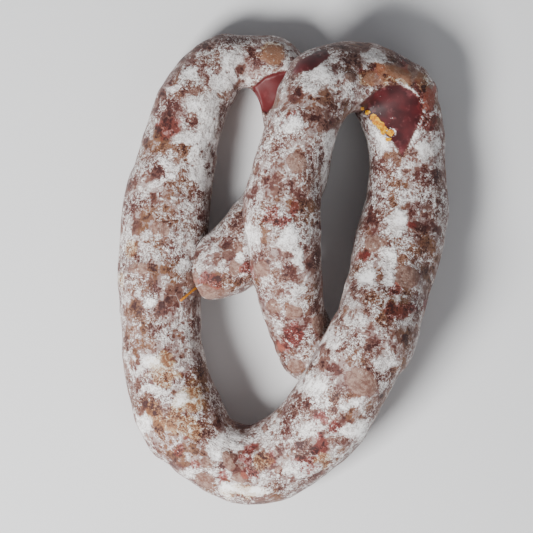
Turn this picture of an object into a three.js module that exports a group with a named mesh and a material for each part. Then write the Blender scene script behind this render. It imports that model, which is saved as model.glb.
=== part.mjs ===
// A cured sausage, bent into a pretzel while it was fresh, then hung by its two arches to dry.
// One filled casing runs from tail to tail. It climbs from the first tail under the middle strand
// to the left arch, runs down the left limb, round the bottom bend, up the right limb and over the
// right arch, and comes down as the middle strand to the second tail, under the right limb.
// Where two stretches press on each other, each is flattened to the surface halfway between them,
// and where a stretch lies on the table it is flattened to the table.
// Millimetres, +Z up, arches towards +Y. The origin is on the table, under the outline's middle.
import * as THREE from "three";

// Outline on the table
const LENGTH = 213;
const WIDTH = 148.5;

// Radius of the filled casing along its length
const LIMB_R = 19; // left limb, bottom bend and right limb
const STRAND_R = 16.4; // middle strand
const TAIL_R = 14.9; // first tail, at its tip
const SECOND_TAIL_R = 14.9; // second tail
const CLIMB_R = 15.6; // the stretch that climbs under the middle strand to the left arch
const LEFT_ARCH_R = 13; // drawn thin where it hung
const RIGHT_ARCH_R = 16.3;
const TAIL_CAP = 1.48; // length of the rounded first tail, in radii
const SECOND_TAIL_CAP = 1; // the same for the second tail

// How the stretches lie on each other
const SETTLE = 0.8; // how far the underside is flattened by the table
const PRESS = 3.6; // how far two crossing stretches sink into each other
const CONTACT_GAP = 0.35; // left between two stretches that touch
const CROSSING = 2 * CLIMB_R - PRESS; // height that a full crossing adds
const OWN_NEIGHBOURHOOD = 13; // rings closer than this along the casing don't press on each other

// The gathered end of the casing, on the first tail
const NIB_R = 0.9;
const NIB_LENGTH = 7;

// Mesh density
const RING_STEP = 4.4;
const SIDES = 18; // so that a face, not a corner, is lowest
const CAP_RINGS = 5;

// Places that the stations are measured from: the axes of the limbs and of the end bends, and the
// middle strand's upper end
const left = LIMB_R - WIDTH / 2;
const right = WIDTH / 2 - LIMB_R;
const middle = 1.5;
const tip = left + LIMB_R + 11.5; // the first tail's, beside the left limb
const climb = middle - 3.2; // where the first tail passes under the middle strand
const top = LENGTH / 2 - LEFT_ARCH_R;
const bottom = LIMB_R - LENGTH / 2;
const across = (share) => THREE.MathUtils.lerp(left, right, share);

// A station of the centreline: its place in plan, the casing's radius there, and how far it is
// lifted off the table, as a share of a full crossing.
function station(x, y, radius, lift = 0) {
  return { at: new THREE.Vector3(x, y, 0), radius, lift };
}

const stations = [
  // First tail, its tip up on the left limb's flank, and the climb under the middle strand
  station(tip + 1, 1.9, TAIL_R, 0.5),
  station((tip + climb) / 2 + 1.4, 10.8, TAIL_R + 1.5, 0.43),
  station(climb, 25.2, CLIMB_R + 0.6, 0.15),
  station(middle + 4.6, 40.5, CLIMB_R),
  station(middle + 6.2, 55.5, CLIMB_R),
  station(middle + 3.4, top - 22.2, CLIMB_R),
  // Left arch
  station(middle - 3.8, top - 8.2, LEFT_ARCH_R + 1.2),
  station(middle - 10, top - 2.6, LEFT_ARCH_R + 0.4),
  station(middle - 18, top - 0.4, LEFT_ARCH_R),
  station(middle - 25.9, top - 1.7, LEFT_ARCH_R + 1),
  station(left + 24, top - 6.4, LEFT_ARCH_R + 2.2),
  station(left + 15, top - 20.4, LIMB_R - 2.1),
  // Left limb
  station(left + 5.2, top - 53, LIMB_R - 0.9),
  station(left + 0.4, 0, LIMB_R),
  station(left + 0.6, -26, LIMB_R - 0.7),
  station(left + 4.3, -48.5, LIMB_R - 0.4),
  // Bottom bend
  station(across(0.096), bottom + 21.2, LIMB_R + 0.4),
  station(across(0.186), bottom + 5.9, LIMB_R - 0.5),
  station(across(0.37), bottom - 1.4, LIMB_R - 1.2),
  station(across(0.543), bottom + 5.3, LIMB_R, 0.04),
  // Right limb, raised where it passes over the second tail
  station(across(0.685), bottom + 21, LIMB_R + 0.9, 0.3),
  station(across(0.794), bottom + 41, LIMB_R + 0.4, 0.64),
  station(across(0.875), bottom + 60, LIMB_R + 0.4, 0.6),
  station(right - 7.6, -7.4, LIMB_R + 0.4, 0.27),
  station(right - 3, 12, LIMB_R + 0.7, 0.06),
  station(right + 0.6, 30, LIMB_R - 0.6),
  station(right + 1.4, 47, LIMB_R - 1.8),
  // Right arch, climbing over the left one
  station(right - 0.7, top - 29.2, RIGHT_ARCH_R + 2),
  station(right - 6.6, top - 16, RIGHT_ARCH_R + 1.5, 0.08),
  station(middle + 39, top - 9, RIGHT_ARCH_R + 0.6, 0.26),
  station(middle + 28, top - 8.2, RIGHT_ARCH_R, 0.48),
  station(middle + 15.6, top - 14.2, RIGHT_ARCH_R + 0.4, 0.76),
  // Middle strand
  station(middle + 7.8, top - 29, STRAND_R + 0.3, 0.98),
  station(middle + 3.2, 48, STRAND_R, 1.04),
  station(middle + 0.1, 30, STRAND_R + 0.2, 1.1),
  station(middle - 0.5, 13, STRAND_R + 0.2, 1.12),
  station(middle + 0.4, -1.5, STRAND_R - 0.3, 0.96),
  // Second tail, down to the table under the right limb
  station(middle + 2.5, -16, SECOND_TAIL_R + 0.2, 0.6),
  station(middle + 6.4, -29, SECOND_TAIL_R, 0.24),
  station(middle + 12, -38.5, SECOND_TAIL_R),
];

const plan = new THREE.CatmullRomCurve3(stations.map((s) => s.at));
const profile = new THREE.CatmullRomCurve3(
  stations.map((s) => new THREE.Vector3(s.radius, s.lift, 0)),
  false,
  "catmullrom",
);

class Centreline extends THREE.Curve {
  getPoint(t, target = new THREE.Vector3()) {
    const { x: radius, y: lift } = profile.getPoint(t);
    return plan.getPoint(t, target).setZ(radius - SETTLE + lift * CROSSING);
  }
}

const centreline = new Centreline();

// Distance along a ray from a ring's centre to the surface halfway between it and another ring
function distanceToNeighbour(ring, direction, other) {
  const offset = new THREE.Vector3().subVectors(ring.centre, other.centre);
  const bias = other.radius - ring.radius + CONTACT_GAP;
  const closing = bias - offset.dot(direction);
  return closing > 0 ? (offset.lengthSq() - bias * bias) / (2 * closing) : Infinity;
}

const distanceToTable = (origin, direction) =>
  direction.z < 0 ? -origin.z / direction.z : Infinity;

// A ring of the casing stands square to the centreline, with its lowest side level
function makeRing(centre, tangent, radius, along) {
  const side = new THREE.Vector3().crossVectors(tangent, new THREE.Vector3(0, 0, 1)).normalize();
  const up = new THREE.Vector3().crossVectors(side, tangent);
  return { centre, radius, tangent, side, up, along };
}

function makeRings() {
  const length = centreline.getLength();
  const count = Math.round(length / RING_STEP);
  return Array.from({ length: count + 1 }, (_, i) => {
    const share = centreline.getUtoTmapping(i / count);
    const centre = centreline.getPoint(share);
    const radius = profile.getPoint(share).x;
    return makeRing(centre, centreline.getTangent(share), radius, (i / count) * length);
  });
}

// SIDES offsets from a ring's centre, round a circle that stands out from it along the casing
function circle(ring, radius, out) {
  return Array.from({ length: SIDES }, (_, k) => {
    const angle = (k / SIDES) * 2 * Math.PI;
    return new THREE.Vector3()
      .addScaledVector(ring.side, radius * Math.cos(angle))
      .addScaledVector(ring.up, radius * Math.sin(angle))
      .addScaledVector(ring.tangent, out);
  });
}

// The circles of a rounded tail, from its last full ring outwards
function tailCircles(ring, length) {
  return Array.from({ length: CAP_RINGS }, (_, i) => {
    const turn = ((i + 1) / (CAP_RINGS + 0.5)) * (Math.PI / 2);
    return circle(ring, ring.radius * Math.cos(turn), length * Math.sin(turn));
  });
}

const isOwn = (ring, other) => Math.abs(other.along - ring.along) < OWN_NEIGHBOURHOOD;

// A point of the skin: the offset from the ring's centre, cut short by whatever is in its way
function skinPoint(ring, offset, rings) {
  const direction = offset.clone().normalize();
  let reach = Math.min(offset.length(), distanceToTable(ring.centre, direction));
  for (const other of rings) {
    if (!isOwn(ring, other)) reach = Math.min(reach, distanceToNeighbour(ring, direction, other));
  }
  return ring.centre.clone().addScaledVector(direction, reach);
}

// The gathered casing beyond the first tail: a thin cord from its tip, lying on the left limb
function nibPoints(ring, pole, rings) {
  const onward = ring.tangent.clone().negate().setZ(0).normalize();
  const limb = rings.filter((other) => !isOwn(ring, other));
  return [NIB_LENGTH, 0].map((out) => {
    const above = pole.clone().addScaledVector(onward, out);
    const clearance = ({ centre, radius }) => centre.distanceTo(above) - radius;
    const nearest = limb.reduce((a, b) => (clearance(b) < clearance(a) ? b : a));
    const outwards = above.clone().sub(nearest.centre).normalize();
    const distance = nearest.radius + CONTACT_GAP + NIB_R;
    const centre = nearest.centre.clone().addScaledVector(outwards, distance);
    return circle(ring, NIB_R, 0).map((offset) => offset.add(centre));
  });
}

// The casing's skin, as circles of SIDES points from the first tail's nib to the second tail
function skinCircles() {
  const rings = makeRings();
  const first = rings[0];
  const last = rings[rings.length - 1];
  const settle = (ring, circles) => circles.map((c) => c.map((o) => skinPoint(ring, o, rings)));
  const firstTail = settle(first, tailCircles(first, -TAIL_CAP * first.radius)).reverse();
  const secondTail = settle(last, tailCircles(last, SECOND_TAIL_CAP * last.radius));
  const body = rings.map((ring) => settle(ring, [circle(ring, ring.radius, 0)])[0]);
  const tipOffset = first.tangent.clone().multiplyScalar(-TAIL_CAP * first.radius);
  const pole = skinPoint(first, tipOffset, rings);
  return [...nibPoints(first, pole, rings), ...firstTail, ...body, ...secondTail];
}

const middleOf = (points) =>
  points.reduce((sum, p) => sum.add(p), new THREE.Vector3()).divideScalar(points.length);

// Neighbouring circles are joined by quads, and the end ones are closed by a point in their middle
function sausageGeometry() {
  const circles = skinCircles();
  const points = circles.flat();
  const lastCircle = circles.length - 1;
  const startPole = points.push(middleOf(circles[0])) - 1;
  const endPole = points.push(middleOf(circles[lastCircle])) - 1;
  const vertex = (i, k) => i * SIDES + (k % SIDES);
  const faces = [];
  for (let i = 0; i < lastCircle; i++) {
    for (let k = 0; k < SIDES; k++) {
      const [a, b] = [vertex(i, k), vertex(i, k + 1)];
      const [c, d] = [vertex(i + 1, k + 1), vertex(i + 1, k)];
      faces.push(a, c, b, a, d, c);
    }
  }
  for (let k = 0; k < SIDES; k++) {
    faces.push(startPole, vertex(0, k), vertex(0, k + 1));
    faces.push(endPole, vertex(lastCircle, k + 1), vertex(lastCircle, k));
  }
  const geometry = new THREE.BufferGeometry().setFromPoints(points);
  geometry.setIndex(faces);
  geometry.computeVertexNormals();
  return geometry;
}

const mouldedCasing = new THREE.MeshStandardMaterial({
  color: 0xb9a098,
  roughness: 0.8,
  metalness: 0,
});

const sausage = new THREE.Mesh(sausageGeometry(), mouldedCasing);
sausage.name = "sausage";

const part = new THREE.Group();
part.add(sausage);

export default part;
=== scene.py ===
"""A white-moulded cured sausage, bent into a pretzel and lying on a table.

The skin is one closed mesh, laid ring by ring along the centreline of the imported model. Its lumps,
wrinkles and bald patches are in the mesh. Where the mould is thick, thin or rubbed away is painted
onto its vertices, and the material adds the fine grain.
Lengths are in millimetres until the mesh is made, which is in metres.
"""

import math

import bpy
import numpy as np
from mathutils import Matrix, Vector, noise


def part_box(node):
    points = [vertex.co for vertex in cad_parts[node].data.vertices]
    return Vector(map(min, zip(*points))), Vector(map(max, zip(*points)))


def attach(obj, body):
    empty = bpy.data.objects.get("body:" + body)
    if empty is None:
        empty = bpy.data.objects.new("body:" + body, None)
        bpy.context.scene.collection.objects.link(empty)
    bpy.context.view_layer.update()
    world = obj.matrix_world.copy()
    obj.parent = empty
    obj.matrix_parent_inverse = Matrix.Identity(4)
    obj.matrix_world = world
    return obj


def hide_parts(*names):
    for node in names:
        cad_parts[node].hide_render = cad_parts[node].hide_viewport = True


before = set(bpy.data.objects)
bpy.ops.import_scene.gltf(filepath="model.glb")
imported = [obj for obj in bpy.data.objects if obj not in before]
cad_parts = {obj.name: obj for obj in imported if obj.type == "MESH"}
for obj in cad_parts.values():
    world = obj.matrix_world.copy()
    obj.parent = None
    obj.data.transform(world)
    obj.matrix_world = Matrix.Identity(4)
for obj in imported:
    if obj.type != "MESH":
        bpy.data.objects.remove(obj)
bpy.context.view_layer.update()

MM = 0.001

# Radius of the casing
LIMB_R = 19
STRAND_R = 16.4
TAIL_R = 14.9
SECOND_TAIL_R = 14.9
CLIMB_R = 15.6
LEFT_ARCH_R = 13
RIGHT_ARCH_R = 16.3
TAIL_CAP = 1.48  # length of the rounded first tail, in radii
SECOND_TAIL_CAP = 1

# How the stretches lie on each other
SETTLE = 0.8
PRESS = 3.6
CONTACT_GAP = 0.3
CROSSING = 2 * CLIMB_R - PRESS
OWN_NEIGHBOURHOOD = 13  # stretches nearer than this along the casing don't press on each other
NEAR_RADII = 1.3  # rings further apart than this and the margin can't touch
NEAR_MARGIN = 4
SHORTEST_REACH = 0.2

# The gathered end of the casing, on the first tail
NIB_R = 0.75
NIB_LENGTH = 11.5
NIB_WAY = np.array((-0.765, -0.643, 0))
NIB_ROWS = 12
NIB_SUPPORT = 1.6  # the limb within this distance holds the nib up
NIB_REST = 0.7 * NIB_R
NIB_THIN = 0.75  # thickness of the nib's end, in its radii, and how it flares to the tail
NIB_FLARE = 0.5
NIB_FLARE_LENGTH = 1.5

# Mesh density
RING_STEP = 0.97
SIDES = 118
CAP_RINGS = 17
CENTRELINE_SAMPLES = 6000

# Where the stretches end, as shares of the casing's length
LEFT_ARCH_END = 0.3
RIGHT_SIDE_START = 0.5
BEND_END = 0.55

# How the surface is shaped
FOLD_STRETCH = 7  # folds are this many times as long as they are wide
FAT_BULGE = 0.45
SWELL_REACH = 4.5
SWELL_EASE = 0.25
BALD_DEPTH = 5  # the most that a batten pressed the skin in
BALD_FILL = 10  # the most that the skin is raised to the flat's floor
PRESS_EDGE = (0, 1.1)
FILL_EDGE = (0.6, 2.5)
EVEN_EDGE = (0.5, 1.6)
EVENING_PASSES = 60

# How patches fade, in shares of their size, after a margin is added to it
PATCH_MARGIN = 0.6
PATCH_OUTER = 1.35
PATCH_INNER = 0.7

# How much mould there is, from bare at 0 to thick at 1
MEAN_COVER = 0.45
FAT_COVER = 0.37
RIM_COVER = 0.9
BEAD_SHARE = 0.9

# The frame's box gives the axes of the limbs and of the end bends
low, high = (np.array(corner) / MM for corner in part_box("sausage"))
left = low[0] + LIMB_R
right = high[0] - LIMB_R
top = high[1] - LEFT_ARCH_R
bottom = low[1] + LIMB_R

# Where the middle strand, the first tail's tip and the climb stand between the limbs
MIDDLE_SHIFT = 1.5
TIP_GAP = 11.5
CLIMB_SHIFT = 3.2
middle = (left + right) / 2 + MIDDLE_SHIFT
tip = left + LIMB_R + TIP_GAP
climb = middle - CLIMB_SHIFT


def across(share):
    return left + share * (right - left)


# Stations of the centreline: place in plan, radius, and lift as a share of a full crossing
STATIONS = [
    # First tail and the climb under the middle strand
    (tip + 1, 1.9, TAIL_R, 0.5),
    ((tip + climb) / 2 + 1.4, 10.8, TAIL_R + 1.5, 0.43),
    (climb, 25.2, CLIMB_R + 0.6, 0.15),
    (middle + 4.6, 40.5, CLIMB_R, 0),
    (middle + 6.2, 55.5, CLIMB_R, 0),
    (middle + 3.4, top - 22.2, CLIMB_R, 0),
    # Left arch
    (middle - 3.8, top - 8.2, LEFT_ARCH_R + 1.2, 0),
    (middle - 10, top - 2.6, LEFT_ARCH_R + 0.4, 0),
    (middle - 18, top - 0.4, LEFT_ARCH_R, 0),
    (middle - 25.9, top - 1.7, LEFT_ARCH_R + 1, 0),
    (left + 24, top - 6.4, LEFT_ARCH_R + 2.2, 0),
    (left + 15, top - 20.4, LIMB_R - 2.1, 0),
    # Left limb
    (left + 5.2, top - 53, LIMB_R - 0.9, 0),
    (left + 0.4, 0, LIMB_R, 0),
    (left + 0.6, -26, LIMB_R - 0.7, 0),
    (left + 4.3, -48.5, LIMB_R - 0.4, 0),
    # Bottom bend
    (across(0.096), bottom + 21.2, LIMB_R + 0.4, 0),
    (across(0.186), bottom + 5.9, LIMB_R - 0.5, 0),
    (across(0.37), bottom - 1.4, LIMB_R - 1.2, 0),
    (across(0.543), bottom + 5.3, LIMB_R, 0.04),
    # Right limb, raised where it passes over the second tail
    (across(0.685), bottom + 21, LIMB_R + 0.9, 0.3),
    (across(0.794), bottom + 41, LIMB_R + 0.4, 0.64),
    (across(0.875), bottom + 60, LIMB_R + 0.4, 0.6),
    (right - 7.6, -7.4, LIMB_R + 0.4, 0.27),
    (right - 3, 12, LIMB_R + 0.7, 0.06),
    (right + 0.6, 30, LIMB_R - 0.6, 0),
    (right + 1.4, 47, LIMB_R - 1.8, 0),
    # Right arch, climbing over the left one
    (right - 0.7, top - 29.2, RIGHT_ARCH_R + 2, 0),
    (right - 6.6, top - 16, RIGHT_ARCH_R + 1.5, 0.08),
    (middle + 39, top - 9, RIGHT_ARCH_R + 0.6, 0.26),
    (middle + 28, top - 8.2, RIGHT_ARCH_R, 0.48),
    (middle + 15.6, top - 14.2, RIGHT_ARCH_R + 0.4, 0.76),
    # Middle strand
    (middle + 7.8, top - 29, STRAND_R + 0.3, 0.98),
    (middle + 3.2, 48, STRAND_R, 1.04),
    (middle + 0.1, 30, STRAND_R + 0.2, 1.1),
    (middle - 0.5, 13, STRAND_R + 0.2, 1.12),
    (middle + 0.4, -1.5, STRAND_R - 0.3, 0.96),
    # Second tail, down to the table under the right limb
    (middle + 2.5, -16, SECOND_TAIL_R + 0.2, 0.6),
    (middle + 6.4, -29, SECOND_TAIL_R, 0.24),
    (middle + 12, -38.5, SECOND_TAIL_R, 0),
]

# Patches of the skin, seen from above: x, y, half length, half width, turn in degrees

# Mould thin or rubbed off, so that the red-brown casing shows
BARE = [
    (-42, 78, 7, 3, -10), (-35, 86, 2, 2.5, 0), (-49, 72, 4, 5, 0), (-55, 54, 5.5, 3.5, 0),
    (-15, 90, 4.5, 4, 0), (-32, 101, 7, 2.5, 20), (-44, 94, 5.5, 2, 40), (-49, 87, 2.5, 3.5, 0),
    (-55, 74, 2, 5.5, 15), (-58, 42, 4, 3.5, 0), (-45, 52, 2.5, 1.5, 0), (-36, 51, 1.5, 1.5, 0),
    (-21, 80, 2.5, 2, 0), (-59, 21, 2, 1.5, 0), (-50, 22, 2.5, 2, 0), (-67, 27, 3.5, 2.5, 0),
    (-57, 29, 2.5, 2, 0), (-56, -1, 4, 2, 10), (-57, -6, 2, 1.5, 0), (-66, -19, 4.5, 4, 0),
    (-50, -16, 4, 6.5, -20), (-60, -29, 3.5, 3, 0), (-62, -35, 3.5, 2.5, 0), (-57, -37, 2.5, 2, 0),
    (-41, -16, 3, 2.5, 0), (-19, 20, 2.5, 5.5, -10), (-24, 8, 3, 5.5, -10), (-11, 7, 2, 2, 0),
    (-1, -4, 3.5, 3, 0), (-3, -11, 2.5, 2, 0), (43, 85, 5.5, 3.5, -20), (32, 90, 5.5, 3.5, 0),
    (31, 99, 9, 2.5, 0), (47, 96, 3.5, 2.5, 0), (56, 94, 4.5, 2.5, 0), (4, 80, 2, 3.5, 0),
    (7, 75, 2.5, 2, 0), (14, 68, 5, 2.5, 0), (21, 74, 2, 3, 0), (20, 63, 3.5, 2, 0),
    (4, 56, 3, 2.5, 0), (42, 58, 1, 4, 10), (49, 49, 4.5, 2, 0), (45, 44, 4.5, 4, 0),
    (61, 38, 5.5, 4, 0), (69, 41, 2, 3.5, 0), (44, 27, 5.5, 3.5, 0), (40, 18, 2.5, 6.5, 0),
    (56, 25, 3, 3, 0), (64, 17, 3.5, 2.5, 0), (65, 7, 3.5, 3, 0), (32, -1, 2, 5.5, 0),
    (33, -11, 4, 2, 0), (64, -2, 2.5, 2, 0), (40, -13, 2.5, 2.5, 0), (44, -23, 2.5, 3, 0),
    (38, -20, 4, 1.5, 0), (55, -31, 4.5, 2.5, 0), (41, -36, 4, 3.5, 0), (2, -3, 2.5, 2.5, 0),
    (12, -1, 2.5, 2, 0), (3, 4, 2, 2, 0), (26, -56, 4, 3.5, 0), (32, -42, 3.5, 2.5, 0),
    (40, -46, 3, 3.5, 0), (40, -57, 3, 3.5, 0), (32, -66, 3, 2.5, 0), (9, -82, 5, 3.5, 0),
    (2, -73, 3.5, 2, 0), (23, -47, 2.5, 2, 0), (20, -38, 1.5, 2.5, 0), (48, -48, 2.5, 2, 0),
    (-62, -41, 3, 2.5, 0), (-65, -54, 2, 1.5, 0), (-59, -62, 3.5, 4.5, 0), (-55, -73, 3, 3, 0),
    (-49, -87, 6, 2.5, -35), (-33, -74, 2.5, 3.5, 0), (-36, -47, 2, 4, -10),
]

# Mould at its thickest
WHITE = [
    (-23, 89, 4, 6.5, 0), (-28, 83, 5.5, 4, 0), (-41, 86, 2, 2.5, 0), (-49, 80, 2.5, 2, 0),
    (-39, 72, 4.5, 2, 0), (-32, 62, 4, 9, 10), (-50, 45, 3.5, 3, 0), (-44, 57, 4.5, 2.5, 0),
    (-13, 12, 3.5, 6.5, 0), (-60, -16, 2.5, 2.5, 0), (-45, -1, 3, 2.5, 0), (-18, 3, 2, 2, 0),
    (41, 93, 5.5, 3, 0), (17, 85, 7, 4.5, -30), (12, 80, 5.5, 4, 0), (6, 63, 4.5, 2.5, 0),
    (21, 54, 3.5, 7, 0), (66, 54, 4.5, 4, 0), (2, 13, 3.5, 5.5, 0), (7, 4, 2.5, 4.5, 0),
    (51, 20, 3.5, 5.5, 0), (47, 3, 3.5, 4.5, 0), (38, -5, 3.5, 2.5, 0), (49, -6, 2.5, 2.5, 0),
    (22, -32, 4.5, 4.5, 0), (14, -52, 5.5, 4.5, 0), (12, -73, 5.5, 3, 0), (30, -61, 2.5, 2, 0),
    (33, -73, 5.5, 4, 0), (7, -91, 6.5, 2.5, 0), (45, -42, 4.5, 2.5, 0), (-59, -43, 3.5, 2.5, 0),
    (-45, -59, 3.5, 1.5, 25), (-58, -56, 4.5, 2, 0), (-63, -71, 2.5, 5.5, -25),
    (-31, -83, 1.5, 4, 0), (-23, -79, 4.5, 3.5, 0), (-22, -100, 5.5, 2, 0), (-41, -92, 3.5, 2, 0),
    (44, 58.5, 8, 2.2, -60), (-14, -101, 8, 2, 0), (-28, -80, 4, 5, 30), (-34, 75, 5, 5, 40),
    (-38, 52, 4, 7, 10), (-36, 40, 4, 5, 0), (20, 40, 3, 5, 0), (30, -60, 4, 3, 0),
]

# Deep red meat under the casing
RED = [
    (-50, 62, 5, 4, 20), (-32, -6, 6, 3, 0), (-15, -2, 2.5, 3, 0), (-5, 23, 3, 3, 0),
    (66, 75, 3, 6.5, -15), (66, 66, 3, 3.5, 0), (36, 87, 2, 1.5, 0), (44, 87, 3, 1.5, 10),
    (55, 90, 2, 2, 0), (61, 80, 3, 3, 0), (4, 66, 1.5, 1.5, 0), (58, 20, 2, 1.5, 0),
    (36, 5, 1.5, 2, 0), (50, -11, 2.5, 2, 0), (53, -19, 6, 3, 0), (64, -18, 1.5, 2.5, 0),
    (0, 20, 3, 2, 0), (6, 25, 2, 2, 0), (5, -30, 3.5, 4.5, 0), (0, -36, 2, 3, 0),
    (17, -68, 4, 2.5, 0), (24, -71, 2, 2.5, 0), (17, -80, 3, 4, 0), (11, -88, 6, 2.5, 10),
    (-45, -81, 2, 3.5, -30), (-39, -88, 1.5, 1.5, 0), (-15, -83, 2, 4, 0), (-14, -93, 3.5, 2.5, 0),
    (-5, -84, 2, 4.5, 0), (-27, -94, 2, 2, 0),
]

# Lumps of fat that push the casing out, smooth and bare
FAT = [
    (-54, 17, 4, 2.5, 0), (-64, -1, 3.5, 2, 0), (-21, -1, 2.5, 3.5, 0), (-32, -12, 7.5, 2.5, 0),
    (-9, -1, 3, 3.5, 0), (-4, -18, 3, 2.5, 0), (58, 86, 4.5, 3.5, 0), (30, 84, 2, 2, 0),
    (6, 46, 3.5, 4, 0), (42, 10, 4.5, 3, 0), (55, -5, 5, 4.5, 0), (5, -20, 3.5, 2.5, 0),
    (16, -26, 2.5, 4, 0), (35, -51, 7, 5, -30), (-24, -87, 2, 5, 30), (-19, -95, 3.5, 2, 0),
    (-34, -88, 2, 2, 0), (-35, -95, 4.5, 2.5, -20), (-40, -6, 2, 3.5, 0), (-4, 95, 5, 3.5, 0),
    (6, -45, 3, 2.5, 0), (-2, -37, 1.5, 2.5, -30), (49, 88, 6, 2.5, -12), (66, 76, 2.2, 6, -12),
    (41, 84, 4, 2, 10),
]

# Yellowish mould and orange-brown fat
OCHRE = [
    (-4, 96, 6, 4, 0), (-68, 7, 2, 2.5, 0), (-72, -6, 1.5, 2, 0), (-53, -43, 5.5, 3, 25),
    (-53, -49, 6.5, 3.5, 15), (-46, -62, 3.5, 3, 0), (-49, -70, 4.5, 3.5, 0), (-8, -87, 3, 4, 0),
    (-12, -101, 5.5, 2, 0), (62, 82, 2.5, 3.5, 0), (18, -87, 2, 2.5, 0), (50, 86, 7, 3, -15),
    (38, 84, 4, 2.5, 10), (-41, -59, 6, 6, 30), (-57, -65, 4, 4, 0), (-18, -101, 8, 2.5, 0),
    (-40, -72, 4, 3, 0),
]

# Bald patches that the battens left inside the arches: outline in plan, the height of the flat's
# floor at its first point, and the floor's slope in x and y
RIGHT_BALD = (
    [
        (32, 70.4), (38.3, 76.3), (43.7, 80.3), (47.7, 81.9), (52.7, 81.7), (58.1, 79), (61.9, 75),
        (63.2, 69), (61.7, 63.7), (59, 58.3), (56, 52.5), (53.5, 48), (50, 54.6), (45.5, 59.2),
        (41, 64.6), (38.7, 68.2), (34.7, 71.8),
    ],
    28.2, 0.17, -0.05,
)
LEFT_BALD = (
    [
        (-12.6, 81.7), (-8.6, 85.3), (-3.6, 87.5), (3.6, 88.7), (3.6, 81), (-4, 71), (-6.8, 68),
        (-10, 70), (-13.5, 76), (-17, 79.5),
    ],
    20, 0.08, 0.1,
)
# A third patch, bare but not pressed flat
TOP_BALD = [
    (2.7, 85.5), (7.2, 91.6), (14.4, 95.6), (19.4, 97.4), (22.5, 94.3), (18.5, 90.7), (13, 86.6),
    (7.2, 85.6),
]

# Where the filling swells the outline beyond its stations, or the casing draws it in: place and mm
SWELLS = [
    (-22, 25, 3.2), (-41, -99, -2.9), (-12, 73, -2.5), (-8, -29, -2.3), (22, 37, -2.2),
    (65, 85, 2.2), (47, -61, -2.2), (6, 97, 2.1), (-17, 31, 2), (-30, -51, -2), (-48, -94, -1.8),
    (-68, -53, 1.8), (23, -92, -1.8), (-60, -79, 1.8), (72, 17, 1.7), (-63, -72, 1.7),
    (-25, -15, -1.6), (-4, -36, -1.6), (-12, -106, 1.6), (-25, 66, -1.6), (46, 100, -1.6),
    (-10, -21, -1.6), (-67, -61, 1.6), (-27, 19, 1.6), (43, -69, -1.6), (-15, 105, -1.4),
    (0, 102, 1.4), (-61, 67, -1.4), (-70, -45, 1.3), (18, 29, -1.3), (-27, -59, -1.3),
    (27, -7, -1.3), (17, -97, -1.3), (38, 102, -1.3), (74, 25, 1.3), (-33, -43, -1.3),
    (-34, 13, 1.2), (-23, -67, -1.2), (54, 96, -1.2), (51, -54, -1.2), (58, -38, 1.2),
    (36, 29, -1.2), (22, 45, -1.2), (-70, 34, 1.2), (-33, 30, 1.2), (-65, 54, -1.2),
    (25, 57, -1.2), (-20, -106, 1.2), (30, -87, -1), (-33, -103, -1), (-27, 58, -1), (-4, -105, 1),
    (-35, -35, -1), (3, -56, -1), (72, 9, 1), (-71, 26, 1), (-12, -13, -1), (26, -15, -0.9),
    (30, 1, -0.9), (74, 49, -0.9), (-9, 65, -0.9), (-32, 42, 0.9),
]

# The dusty rim right of the right patch, and the red shoulder beyond it: edges in x and y
RIM_FROM_X = 50
SHOULDER_X = (56, 62)
SHOULDER_Y = (58, 66)
# The left patch is covered again below these heights
LEFT_BALD_HEIGHTS = (17.6, 18.8)

# Oil and fat along the right patch's lower edge: place and radius
OIL = [
    (36, 70.6, 0.7), (38.3, 69, 0.9), (40.6, 66.9, 1.3), (42, 65, 1.7), (44, 63, 1.6),
    (45.8, 60.6, 1.8), (47.8, 57.6, 1.5),
]
OIL_OUTER = 1.6  # an oil spot fades from this far outside its radius to this far inside it
OIL_INNER = 1.4
# A ring of mould round an oily middle
FAT_BEAD = (48.5, 59.8, 3)


# ---- Curves and noise ---------------------------------------------------------------------------


def smoothstep(low_edge, high_edge, value):
    share = np.clip((value - low_edge) / (high_edge - low_edge), 0, 1)
    return share * share * (3 - 2 * share)


def catmull_rom(points, knot_power, at):
    """Points of a Catmull-Rom spline at parameters from 0 to 1.

    Its knots are chord ** knot_power apart.
    """
    points = np.vstack([2 * points[0] - points[1], points, 2 * points[-1] - points[-2]])
    knots = np.linalg.norm(np.diff(points, axis=0), axis=1) ** knot_power
    segment = np.minimum((at * (len(points) - 3)).astype(int), len(points) - 4)
    weight = (at * (len(points) - 3) - segment)[:, None]
    p0, p1, p2, p3 = (points[segment + i] for i in range(4))
    k0, k1, k2 = (knots[segment + i][:, None] for i in range(3))
    start = k1 * ((p1 - p0) / k0 - (p2 - p0) / (k0 + k1) + (p2 - p1) / k1)
    end = k1 * ((p2 - p1) / k1 - (p3 - p1) / (k1 + k2) + (p3 - p2) / k2)
    square = -3 * p1 + 3 * p2 - 2 * start - end
    cube = 2 * p1 - 2 * p2 + start + end
    return p1 + weight * (start + weight * (square + weight * cube))


def noise_at(places, size, seed):
    """Smooth noise from -1 to 1 whose features are about `size` mm across."""
    shift = Vector((seed * 17.3, seed * 7.9, seed * 3.1))
    return np.array([noise.noise(Vector(p) + shift) for p in (places / size).tolist()])


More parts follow.
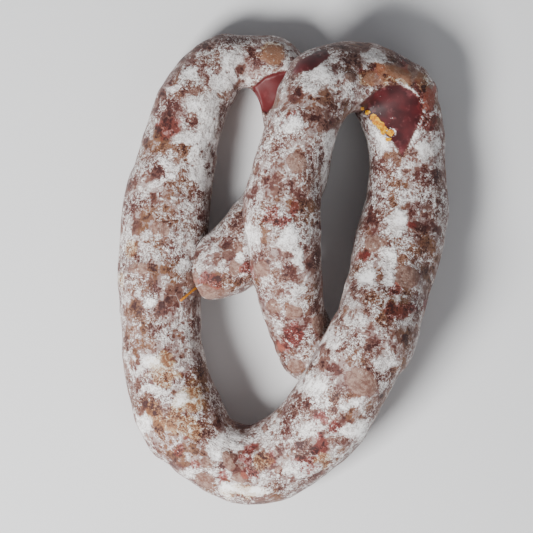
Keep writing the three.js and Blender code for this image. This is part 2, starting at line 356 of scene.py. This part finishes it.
def inside_distance(outline, places):
    """Distance of places in plan to a closed outline, positive inside it."""
    corners = np.array(outline, float)
    nearest = np.full(len(places), np.inf)
    inside = np.zeros(len(places), bool)
    for a, b in zip(corners, np.roll(corners, -1, axis=0)):
        edge = b - a
        share = np.clip(((places - a) @ edge) / (edge @ edge), 0, 1)
        nearest = np.minimum(nearest, np.linalg.norm(places - a - share[:, None] * edge, axis=1))
        crosses = (a[1] > places[:, 1]) != (b[1] > places[:, 1])
        with np.errstate(divide="ignore", invalid="ignore"):
            cross_x = a[0] + (places[:, 1] - a[1]) / edge[1] * edge[0]
        inside ^= crosses & (places[:, 0] < cross_x)
    return np.where(inside, nearest, -nearest)


# ---- The skin's shape ---------------------------------------------------------------------------


def make_rings():
    """Centre, radius, frame and distance along the casing of every ring."""
    plan = np.array([(x, y) for x, y, _, _ in STATIONS])
    profile = np.array([(radius, lift) for _, _, radius, lift in STATIONS])

    def centreline(at):
        radius, lift = catmull_rom(profile, 0, at).T
        return np.column_stack([catmull_rom(plan, 0.5, at), radius - SETTLE + lift * CROSSING])

    fine = np.linspace(0, 1, CENTRELINE_SAMPLES)
    steps = np.linalg.norm(np.diff(centreline(fine), axis=0), axis=1)
    length = np.concatenate([[0], np.cumsum(steps)])
    along = np.linspace(0, length[-1], round(length[-1] / RING_STEP) + 1)
    at = np.interp(along, length, fine)
    nudge = 1e-4
    tangent = centreline(np.minimum(at + nudge, 1)) - centreline(np.maximum(at - nudge, 0))
    tangent /= np.linalg.norm(tangent, axis=1)[:, None]
    side = np.cross(tangent, (0, 0, 1))
    side /= np.linalg.norm(side, axis=1)[:, None]
    return {
        "centre": centreline(at),
        "radius": catmull_rom(profile, 0, at)[:, 0],
        "tangent": tangent,
        "side": side,
        "up": np.cross(side, tangent),
        "along": along,
    }


def circle(rings, i, radius, out):
    """Offsets of a circle round ring i's centre, moved out along the casing."""
    angles = np.arange(SIDES) / SIDES * 2 * math.pi - math.pi / 2
    return (
        radius * np.cos(angles)[:, None] * rings["side"][i]
        + radius * np.sin(angles)[:, None] * rings["up"][i]
        + out * rings["tangent"][i]
    )


def skin_rows(rings):
    """Every row of the skin as (ring, offsets from its centre): first tail, body, second tail."""
    last = len(rings["radius"]) - 1
    turns = (np.arange(CAP_RINGS) + 1) / (CAP_RINGS + 0.5) * math.pi / 2

    def cap_row(i, turn, length):
        radius = rings["radius"][i]
        return i, circle(rings, i, radius * math.cos(turn), length * radius * math.sin(turn))

    rows = [cap_row(0, turn, -TAIL_CAP) for turn in turns[::-1]]
    rows += [(i, circle(rings, i, rings["radius"][i], 0)) for i in range(last + 1)]
    rows += [cap_row(last, turn, SECOND_TAIL_CAP) for turn in turns]
    return rows


def patches_at(patches, places, rough):
    """How deep inside the nearest patch each place lies: 1 in the middle, 0 well outside."""
    depth = np.zeros(len(places))
    for x, y, half_length, half_width, degrees in patches:
        c = math.cos(math.radians(degrees))
        s = math.sin(math.radians(degrees))
        dx = places[:, 0] - x
        dy = places[:, 1] - y
        u = (dx * c + dy * s) / (half_length + PATCH_MARGIN)
        v = (dy * c - dx * s) / (half_width + PATCH_MARGIN)
        inside = smoothstep(PATCH_OUTER, PATCH_INNER, np.hypot(u, v) + rough)
        depth = np.maximum(depth, inside)
    return depth


def settle(rings, i, offsets):
    """A row's vertices, cut short by the table and by the stretches that press on it."""
    centre = rings["centre"][i]
    radius = rings["radius"][i]
    reach = np.linalg.norm(offsets, axis=1)
    direction = offsets / reach[:, None]
    with np.errstate(divide="ignore"):
        to_table = np.where(direction[:, 2] < 0, -centre[2] / direction[:, 2], np.inf)
    reach = np.minimum(reach, to_table)
    apart = centre - rings["centre"]
    distance = np.linalg.norm(apart, axis=1)
    near = np.abs(rings["along"] - rings["along"][i]) >= OWN_NEIGHBOURHOOD
    near &= distance < NEAR_RADII * (radius + rings["radius"]) + NEAR_MARGIN
    if near.any():
        bias = rings["radius"][near] - radius + CONTACT_GAP
        closing = bias - direction @ apart[near].T
        room = (distance[near] ** 2 - bias**2) / 2
        with np.errstate(divide="ignore", invalid="ignore"):
            reach = np.minimum(reach, np.where(closing > 0, room / closing, np.inf).min(axis=1))
    return centre + direction * np.maximum(reach, SHORTEST_REACH)[:, None]


def nib_rows(rings, pole, limb):
    """The gathered casing beyond the first tail: a thin cord from its tip, on the left limb."""
    rows = []
    for out in np.linspace(NIB_LENGTH, 0, NIB_ROWS):
        spot = pole + out * NIB_WAY
        beside = np.linalg.norm(limb[:, :2] - spot[:2], axis=1) < NIB_SUPPORT
        spot[2] = max(limb[beside, 2].max(), pole[2]) + NIB_REST
        thickness = NIB_R * (NIB_THIN + NIB_FLARE * math.exp(-out / NIB_FLARE_LENGTH))
        rows.append(spot + circle(rings, 0, thickness, 0))
    return rows


def folded_at(places):
    """Where the casing has dried into fine folds along its length: 1 for deep folds, 0 for none."""
    return smoothstep(-0.1, 0.35, noise_at(places, size=28, seed=5))


def lumps(places, lay):
    """How far the filling pushes the casing out, in mm."""
    return (
        0.7 * noise_at(places, size=20, seed=1)
        + 0.55 * noise_at(places, size=9.5, seed=2)
        + 0.22 * noise_at(places, size=4.5, seed=3)
        + 0.22 * folded_at(places) * noise_at(lay, size=2.2, seed=4)
    )


def swell_at(places):
    """How much wider or narrower than its stations the sausage is here, in mm."""
    total = np.zeros(len(places))
    weights = np.full(len(places), SWELL_EASE)
    for x, y, change in SWELLS:
        square = (places[:, 0] - x) ** 2 + (places[:, 1] - y) ** 2
        near = np.exp(-square / (2 * SWELL_REACH**2))
        total += near * change
        weights += near
    return total / weights


def press_flat(points, bald, on_arch):
    """Brings the skin inside a bald patch's outline to its flat floor."""
    outline, floor, slope_x, slope_y = bald
    depth = inside_distance(outline, points[:, :2])
    from_first = points[:, :2] - outline[0]
    flat = floor + slope_x * from_first[:, 0] + slope_y * from_first[:, 1]
    above = np.maximum(points[:, 2] - flat, 0)
    below = np.clip(flat - points[:, 2], 0, BALD_FILL)
    eased = 1 - np.exp(-above / BALD_DEPTH)
    points[:, 2] -= smoothstep(*PRESS_EDGE, depth) * BALD_DEPTH * eased * on_arch
    points[:, 2] += smoothstep(*FILL_EDGE, depth) * below * on_arch


def even_out(points, rows, share):
    """Smooths the skin where `share` is 1, so that its rows lie evenly across a pressed fold."""
    grid = points.reshape(rows, SIDES, 3)
    share = share.reshape(rows, SIDES, 1)
    for _ in range(EVENING_PASSES):
        beside = np.roll(grid, 1, 1) + np.roll(grid, -1, 1)
        mean = (beside + np.roll(grid, 1, 0) + np.roll(grid, -1, 0)) / 4
        grid = grid + share * (mean - grid)
    return grid.reshape(-1, 3)


def make_skin():
    """The skin's vertices row by row with both poles last, its faces, and what colours it.

    These are the ring and the lay of each vertex, how many belong to the nib, and the rings.
    """
    rings = make_rings()
    rows = skin_rows(rings)
    owner = np.repeat([i for i, _ in rows], SIDES)
    offsets = np.concatenate([row for _, row in rows])
    smooth = rings["centre"][owner] + offsets
    turn = np.tile(np.arange(SIDES) / SIDES * 2 * math.pi, len(rows))
    lay = np.column_stack([
        rings["radius"][owner] * np.cos(turn),
        rings["radius"][owner] * np.sin(turn),
        rings["along"][owner] / FOLD_STRETCH,
    ])
    reach = np.linalg.norm(offsets, axis=1)
    flank = 1 - (offsets[:, 2] / np.maximum(reach, 1)) ** 2
    bulge = lumps(smooth, lay) + swell_at(smooth) * flank
    offsets *= (1 + bulge / np.maximum(reach, 1))[:, None]
    fat = patches_at(FAT, smooth[:, :2], 0) * (smooth[:, 2] > rings["centre"][owner, 2])
    offsets *= (1 + FAT_BULGE * fat / np.maximum(reach, 1))[:, None]
    points = np.concatenate(
        [settle(rings, i, offsets[n * SIDES : (n + 1) * SIDES]) for n, (i, _) in enumerate(rows)]
    )
    # Battens pressed the two arches, not the strand that crosses over them
    along = rings["along"][owner] / rings["along"][-1]
    upper = points[:, 2] > rings["centre"][owner, 2]
    on_right = upper & (along > RIGHT_SIDE_START)
    press_flat(points, RIGHT_BALD, on_right)
    press_flat(points, LEFT_BALD, upper & (along < LEFT_ARCH_END))

    pressed = smoothstep(*EVEN_EDGE, inside_distance(RIGHT_BALD[0], points[:, :2]))
    points = even_out(points, len(rows), pressed * on_right)

    pole = points[:SIDES].mean(axis=0)
    limb = points[(along > LEFT_ARCH_END) & (along < BEND_END)]
    nib = nib_rows(rings, pole, limb)
    nib_count = len(nib) * SIDES
    points = np.vstack([np.concatenate(nib), points])
    owner = np.concatenate([np.zeros(nib_count, int), owner])
    row_count = len(nib) + len(rows)
    k = np.arange(SIDES)
    after = (k + 1) % SIDES
    faces = []
    for i in range(row_count - 1):
        a = i * SIDES + k
        b = i * SIDES + after
        faces += np.column_stack([a, a + SIDES, b + SIDES, b]).tolist()
    start = len(points)
    end = start + 1
    last = (row_count - 1) * SIDES
    faces += np.column_stack([np.full(SIDES, start), k, after]).tolist()
    faces += np.column_stack([np.full(SIDES, end), last + after, last + k]).tolist()
    poles = [points[:SIDES].mean(axis=0), points[last:].mean(axis=0)]
    owner = np.concatenate([owner, [0, len(rings["radius"]) - 1]])
    lay = np.vstack([np.zeros((nib_count, 3)), lay, np.zeros((2, 3))])
    return np.vstack([points, poles]), faces, owner, lay, nib_count, rings


def make_mesh(name, points, faces):
    mesh = bpy.data.meshes.new(name)
    mesh.from_pydata((points * MM).tolist(), [], faces)
    mesh.update()
    mesh.shade_smooth()
    piece = bpy.data.objects.new(name, mesh)
    bpy.context.scene.collection.objects.link(piece)
    return piece


def paint(mesh, name, values):
    """Gives every vertex its number or vector under a name that the material reads."""
    values = np.asarray(values, np.float32)
    kind, key = ("FLOAT", "value") if values.ndim == 1 else ("FLOAT_VECTOR", "vector")
    mesh.attributes.new(name, kind, "POINT").data.foreach_set(key, values.ravel())


# ---- The skin's colouring -----------------------------------------------------------------------


def colour_skin(piece, points, owner, lay, nib_count, rings):
    """Paints where the mould is thick or thin and what shows through it onto the vertices."""
    mesh = piece.data
    normals = np.empty(len(points) * 3)
    mesh.vertex_normals.foreach_get("vector", normals)
    facing = normals.reshape(-1, 3)[:, 2]
    plan = points[:, :2]
    up = smoothstep(-0.05, 0.3, facing)
    down = 1 - up
    ragged = 0.4 * noise_at(points, size=5, seed=11) + 0.3 * noise_at(points, size=2.4, seed=12)
    stray = np.column_stack([
        2.6 * noise_at(points, size=6.5, seed=21 + i)
        + 1.3 * noise_at(points, size=2.8, seed=23 + i)
        for i in range(2)
    ])

    bare = patches_at(BARE, plan + stray, ragged) * up
    white = patches_at(WHITE, plan + stray, ragged) * up
    red = patches_at(RED, plan + stray, ragged) * up
    fat = patches_at(FAT, plan + 0.5 * stray, 0) * up
    ochre = patches_at(OCHRE, plan + stray, ragged) * up
    # Sides and underside carry the same kinds of patch in no set place
    bare_below = noise_at(points, size=11, seed=13) + 0.5 * ragged
    bare = np.maximum(bare, down * smoothstep(0.2, 0.42, bare_below))
    red_below = noise_at(points, size=12, seed=14) + 0.4 * ragged
    red = np.maximum(red, down * smoothstep(0.3, 0.48, red_below))
    fat_below = noise_at(points, size=12, seed=15) + 0.2 * ragged
    fat = np.maximum(fat, down * smoothstep(0.34, 0.44, fat_below))
    ochre_below = noise_at(points, size=16, seed=16) + ragged
    ochre = np.maximum(ochre, down * smoothstep(0.32, 0.5, ochre_below))

    along = rings["along"][owner] / rings["along"][-1]
    on_right = (along > RIGHT_SIDE_START) & (facing > 0.1)
    on_left = (along < LEFT_ARCH_END) & (facing > -0.1)
    right_depth = inside_distance(RIGHT_BALD[0], plan)
    left_depth = inside_distance(LEFT_BALD[0], plan)
    top_depth = inside_distance(TOP_BALD, plan) + 0.9 * ragged
    right_bald = smoothstep(0.2, 1, right_depth + 0.5 * ragged) * on_right
    left_bald = smoothstep(0.2, 1, left_depth + 0.5 * ragged) * on_left
    left_bald = left_bald * smoothstep(*LEFT_BALD_HEIGHTS, points[:, 2] + 0.6 * ragged)
    top_bald = smoothstep(0, 0.8, top_depth) * (along > RIGHT_SIDE_START)
    bald = np.maximum(np.maximum(right_bald, left_bald), top_bald)
    rim = np.exp(-(((right_depth + 0.3) / 0.45) ** 2)) * on_right * (plan[:, 0] > RIM_FROM_X)
    rim = rim * smoothstep(-0.1, 0.25, noise_at(points, size=3.5, seed=17))
    shoulder = smoothstep(-5, -1, right_depth) * on_right * smoothstep(*SHOULDER_X, plan[:, 0])
    red = np.maximum(red, shoulder * smoothstep(*SHOULDER_Y, plan[:, 1]) * (1 - bald))
    red = np.maximum(red, left_bald)
    oil = np.zeros(len(points))
    for x, y, radius in OIL:
        away = np.hypot(plan[:, 0] - x, plan[:, 1] - y)
        spot = smoothstep(radius + OIL_OUTER, radius - OIL_INNER, away)
        oil = np.maximum(oil, spot * on_right)
    x, y, radius = FAT_BEAD
    away = np.hypot(plan[:, 0] - x, plan[:, 1] - y)
    bead = smoothstep(radius, radius - 1, away) * smoothstep(0.9, 1.8, away) * on_right
    oil = np.maximum(oil * (1 - 0.8 * bead), smoothstep(2, 1, away) * on_right)

    wild = (
        0.5 * noise_at(points, size=19, seed=18)
        + 0.6 * noise_at(points, size=9, seed=19)
        + 0.5 * noise_at(points, size=4.5, seed=20)
    )
    cover = MEAN_COVER + 0.31 * wild - 0.27 * bare + 0.46 * white - 0.26 * red - 0.03 * ochre
    cover = cover * (1 - fat) + FAT_COVER * fat
    cover = cover * (1 - bald) + RIM_COVER * np.maximum(rim, BEAD_SHARE * bead)
    is_nib = np.arange(len(points)) < nib_count
    paint(mesh, "mould", np.where(is_nib, -1, cover - 0.5 * oil))
    paint(mesh, "bald", np.where(is_nib, 0, bald))
    paint(mesh, "lay", lay)
    paint(mesh, "folded", folded_at(points))
    paint(mesh, "red_meat", red)
    paint(mesh, "fat", fat)
    paint(mesh, "ochre", np.where(is_nib, 1, ochre))
    paint(mesh, "oil", np.where(is_nib, 1.5, oil))


# ---- Materials ----------------------------------------------------------------------------------


class Wire:
    """A node's output that can be added, subtracted and multiplied."""

    def __init__(self, recipe, socket):
        self.recipe, self.socket = recipe, socket

    def maths(self, operation, a, b):
        return self.recipe.node("ShaderNodeMath", {"operation": operation}, [a, b])

    def __add__(self, other):
        return self.maths("ADD", self, other)

    __radd__ = __add__

    def __sub__(self, other):
        return self.maths("SUBTRACT", self, other)

    def __rsub__(self, other):
        return self.maths("SUBTRACT", other, self)

    def __mul__(self, other):
        return self.maths("MULTIPLY", self, other)

    __rmul__ = __mul__

    def at_least(self, other):
        return self.maths("MAXIMUM", self, other)

    def step(self, low_edge, high_edge):
        """0 below the low edge, 1 above the high edge, and a smooth rise between them."""
        settings = {"interpolation_type": "SMOOTHSTEP"}
        return self.recipe.node("ShaderNodeMapRange", settings, [self, low_edge, high_edge])


class Recipe:
    """The nodes of one material."""

    def __init__(self, name):
        self.material = bpy.data.materials.new(name)
        self.material.use_nodes = True
        self.tree = self.material.node_tree
        self.shader = self.tree.nodes["Principled BSDF"]

    def node(self, kind, settings=None, values=(), output=0):
        """Adds a node. Its values, by place or by name, are numbers, tuples or wires."""
        node = self.tree.nodes.new(kind)
        for key, value in (settings or {}).items():
            setattr(node, key, value)
        pairs = values.items() if isinstance(values, dict) else enumerate(values)
        for key, value in pairs:
            self.give(node.inputs[key], value)
        return Wire(self, node.outputs[output])

    def give(self, socket, value):
        if isinstance(value, Wire):
            self.tree.links.new(value.socket, socket)
        else:
            socket.default_value = value

    def painted(self, name):
        return self.node("ShaderNodeAttribute", {"attribute_name": name}, output="Fac")

    def noise(self, places, size, detail=2.0, roughness=0.5):
        """Noise round 0 whose features are about `size` mm across."""
        values = {"Vector": places, "Scale": 1 / size, "Detail": detail, "Roughness": roughness}
        return self.node("ShaderNodeTexNoise", values=values) - 0.5

    def chunks(self, places, size):
        """Angular chunks about `size` mm across: value, tint and the way in from the edge."""
        values = {"Vector": places, "Scale": 1 / size}
        colour = self.node("ShaderNodeTexVoronoi", values=values, output="Color")
        value = self.node("ShaderNodeSeparateColor", values=[colour], output="Red")
        tint = self.node("ShaderNodeSeparateColor", values=[colour], output="Green")
        settings = {"feature": "DISTANCE_TO_EDGE"}
        edge = self.node("ShaderNodeTexVoronoi", settings, values, output="Distance")
        return value, tint, edge

    def mix(self, share, a, b):
        """Colour a where the share is 0 and colour b where it is 1."""
        return self.node("ShaderNodeMix", {"data_type": "RGBA"}, {0: share, 6: a, 7: b}, output=2)

    def finish(self, **values):
        """Gives the shader its values, named as its sockets with _ for a space."""
        for name, value in values.items():
            self.give(self.shader.inputs[name.replace("_", " ")], value)
        return self.material


def channel(level):
    """The light in one channel of a colour, given as it looks on a screen, from 0 to 255."""
    if level <= 10:
        return level / 3294.6
    return ((level / 255 + 0.055) / 1.055) ** 2.4


def rgb(red, green, blue):
    return (channel(red), channel(green), channel(blue), 1)


# Bare casing
CASING_DARK = rgb(88, 48, 42)
CASING_LIGHT = rgb(114, 80, 70)
CASING_TAN = rgb(116, 78, 54)
CASING_RED = rgb(108, 34, 30)
CASING_OCHRE = rgb(142, 94, 58)
CASING_DEEP = rgb(54, 22, 20)

# Casing under thin mould, over meat, fat and ochre mould
THIN_DARK = rgb(138, 114, 109)
THIN_LIGHT = rgb(164, 147, 142)
THIN_MEAT = rgb(122, 86, 80)
THIN_FAT = rgb(148, 116, 104)
THIN_RED = rgb(152, 90, 86)
THIN_OCHRE = rgb(184, 152, 112)

# Lumps of fat that push the casing out
FAT_DARK = rgb(104, 68, 56)
FAT_LIGHT = rgb(152, 122, 108)
FAT_RED = rgb(146, 62, 44)
FAT_OCHRE = rgb(138, 86, 54)
FAT_EDGE = rgb(104, 52, 42)

# Mould powder
POWDER_GREY = rgb(176, 166, 162)
POWDER_WHITE = rgb(234, 229, 226)
POWDER_OCHRE = rgb(226, 204, 170)
POWDER_THICK = rgb(252, 250, 248)

# The bald patches
MEAT_DARK = rgb(48, 10, 14)
MEAT_LIGHT = rgb(88, 24, 28)
MEAT_DUSTY = rgb(118, 62, 64)
MEAT_RED = rgb(98, 33, 34)

# Oil, the nib and the floor
OIL_DARK = rgb(186, 108, 6)
OIL_LIGHT = rgb(244, 194, 44)
NIB_BROWN = rgb(176, 104, 34)
FLOOR_WHITE = rgb(225, 225, 225)


def moulded_casing():
    r = Recipe("moulded_casing")
    metres = r.node("ShaderNodeTexCoord", output="Object")
    scale = {"Vector": metres, "Scale": 1 / MM}
    places = r.node("ShaderNodeVectorMath", {"operation": "SCALE"}, scale)
    lay = r.node("ShaderNodeAttribute", {"attribute_name": "lay"}, output="Vector")
    blotch = r.noise(places, size=9, detail=2)
    mottle = r.noise(places, size=4.2, detail=2, roughness=0.7)
    flecks = r.noise(places, size=1.5, detail=2, roughness=0.8)
    specks = r.noise(places, size=1.15, detail=1, roughness=0.5)
    swarm = r.noise(places, size=6, detail=2)
    hue = r.noise(places, size=15, detail=2)
    grain = r.noise(places, size=0.55, detail=1, roughness=0.8)
    folds = r.noise(lay, size=1.5, detail=3, roughness=0.7)
    mould = r.painted("mould")
    bald = r.painted("bald")
    folded = r.painted("folded")

    # What shows through the mould, with frayed edges
    frayed = mottle * 1.1 + flecks * 0.7
    red = (r.painted("red_meat") + frayed).step(0.25, 0.7)
    fat = (r.painted("fat") + frayed * 0.8).step(0.4, 0.62)
    ochre = (r.painted("ochre") + frayed).step(0.2, 0.8)
    oil = (r.painted("oil") + frayed * 0.7).step(0.4, 0.52)

    # The filling's chunks show through the casing as angular patches
    stir = r.node("ShaderNodeTexNoise", values={"Vector": places, "Scale": 0.4}, output="Color")
    warp = [stir, (4, 4, 4), places]
    stirred = r.node("ShaderNodeVectorMath", {"operation": "MULTIPLY_ADD"}, warp)
    big_value, big_tint, big_edge = r.chunks(stirred, 5.2)
    small_value, small_tint, small_edge = r.chunks(stirred, 2.5)
    big = big_value.step(0.66, 0.68) * big_edge.step(0.02, 0.1)
    small = small_value.step(0.7, 0.72) * small_edge.step(0.03, 0.16)

    # Mould from bare casing at 0 to thick powder at 1
    busy = (r.noise(places, size=13, detail=1) * 4 + 0.5).step(0.1, 0.9) + 0.3
    caked = mould.step(0.5, 0.9)
    ragged = mottle * 1.2 + (flecks * 1.5 + grain * 1.1) * busy * (1 - caked * 0.6)
    depth = mould + ragged * (1 - fat * 0.75) + folds * folded * 0.6
    thinned = (specks * 3 + swarm * 2.6).step(0.42, 0.62) * 0.34
    thinned = thinned + (big * 0.25).at_least(small * 0.23)
    depth = depth - thinned * (1 - fat) * (1 - caked * 0.35)

    # Bare casing
    casing = r.mix((blotch * 3 + 0.5).step(0.2, 0.8), CASING_DARK, CASING_LIGHT)
    casing = r.mix((hue * 4 + 0.3).step(0.2, 1), casing, CASING_TAN)
    casing = r.mix(red * 0.65, casing, CASING_RED)
    casing = r.mix(ochre * 0.6, casing, CASING_OCHRE)

    # Casing under thin mould, and fat just below the surface
    thin = r.mix((blotch * 3 + 0.5).step(0.2, 0.8), THIN_DARK, THIN_LIGHT)
    thin = r.mix(small * small_tint, thin, THIN_MEAT)
    thin = r.mix(big * big_tint, thin, THIN_FAT)
    thin = r.mix(red * 0.6, thin, THIN_RED)
    thin = r.mix(ochre * 0.6, thin, THIN_OCHRE)
    tan = r.mix((mottle * 2 + flecks * 2.5 + 0.5).step(0, 1), FAT_DARK, FAT_LIGHT)
    tan = r.mix(red * 0.7, tan, FAT_RED)
    tan = r.mix(ochre * 0.6, tan, FAT_OCHRE)
    thin = r.mix(fat * 0.9, thin, tan)

    # Mould powder, and the layers in order of depth
    powder = r.mix((grain * 2 + flecks * 2 + 0.5).step(0, 1), POWDER_GREY, POWDER_WHITE)
    powder = r.mix(ochre * 0.4, powder, POWDER_OCHRE)
    skin = r.mix(depth.step(-0.3, 0.12), CASING_DEEP, casing)
    skin = r.mix(depth.step(0.16, 0.34), skin, thin)
    skin = r.mix(depth.step(0.44, 0.56), skin, powder)
    skin = r.mix(depth.step(0.7, 1.1), skin, POWDER_THICK)
    skin = r.mix(fat * (1 - fat) * 2.6, skin, FAT_EDGE)

    # The bald patches and the oil
    meat = r.mix((blotch * 2 + 0.5).step(0.1, 0.9), MEAT_DARK, MEAT_LIGHT)
    meat = r.mix((mottle * 3).step(0.1, 1), meat, MEAT_DUSTY)
    meat = r.mix(red * 0.7, meat, MEAT_RED)
    skin = r.mix(bald * (1 - depth.step(0.5, 0.8)), skin, meat)
    oily = r.mix((flecks * 3 + 0.4).step(0, 1), OIL_DARK, OIL_LIGHT)
    oily = r.mix(ochre * 0.8, oily, NIB_BROWN)
    skin = r.mix(oil, skin, oily)

    thick = depth.step(0.3, 0.8)
    height = thick * 0.5 + grain * 0.3 + mottle * 0.6 + folds * folded * 0.8
    height = height * (1 - bald * 0.9)
    relief = {"Strength": 0.85, "Distance": 0.6 * MM, "Height": height}
    bump = r.node("ShaderNodeBump", values=relief)
    rough = 0.58 + thick * 0.32 - bald * 0.12
    return r.finish(
        Base_Color=skin, Roughness=rough, Normal=bump, Sheen_Weight=0.08, Specular_IOR_Level=0.3
    )


def plain(name, colour, roughness):
    return Recipe(name).finish(Base_Color=colour, Roughness=roughness)


# ---- The scene ----------------------------------------------------------------------------------

# In metres, as everything below
FLOOR_WIDTH = 6
AIM = (-0.007, 0, 0.02)
CAMERA_HEIGHT = 2.2
SEEN_WIDTH = 0.24  # width of the picture at the sausage's mid height
SENSOR_WIDTH = 36  # in millimetres, as cameras have it
SKY = (0.9, 0.93, 1, 1)
SKY_STRENGTH = 0.25

points, faces, owner, lay, nib_count, rings = make_skin()
sausage = make_mesh("sausage_skin", points, faces)
colour_skin(sausage, points, owner, lay, nib_count, rings)
sausage.data.materials.append(moulded_casing())
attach(sausage, "root")
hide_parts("sausage")

bpy.ops.object.select_all(action="DESELECT")
bpy.ops.mesh.primitive_plane_add(size=FLOOR_WIDTH)
floor = bpy.context.object
floor.name = "floor"
floor.data.materials.append(plain("floor_paint", FLOOR_WHITE, 0.9))

camera_data = bpy.data.cameras.new("camera")
camera_data.sensor_width = SENSOR_WIDTH
camera_data.lens = SENSOR_WIDTH * (CAMERA_HEIGHT - AIM[2]) / SEEN_WIDTH
camera = bpy.data.objects.new("camera", camera_data)
camera.location = (AIM[0], AIM[1], CAMERA_HEIGHT)
bpy.context.scene.collection.objects.link(camera)
bpy.context.scene.camera = camera


def area_light(name, place, size, power):
    data = bpy.data.lights.new(name, "AREA")
    data.size = size
    data.energy = power
    light = bpy.data.objects.new(name, data)
    light.location = place
    light.rotation_euler = (Vector(AIM) - Vector(place)).to_track_quat("-Z", "Y").to_euler()
    bpy.context.scene.collection.objects.link(light)


area_light("key", place=(-0.6, -0.5, 0.85), size=0.4, power=28)
area_light("fill", place=(0.5, -0.8, 0.9), size=0.8, power=3)
world = bpy.data.worlds.new("studio")
world.use_nodes = True
sky = world.node_tree.nodes["Background"]
sky.inputs["Color"].default_value = SKY
sky.inputs["Strength"].default_value = SKY_STRENGTH
bpy.context.scene.world = world
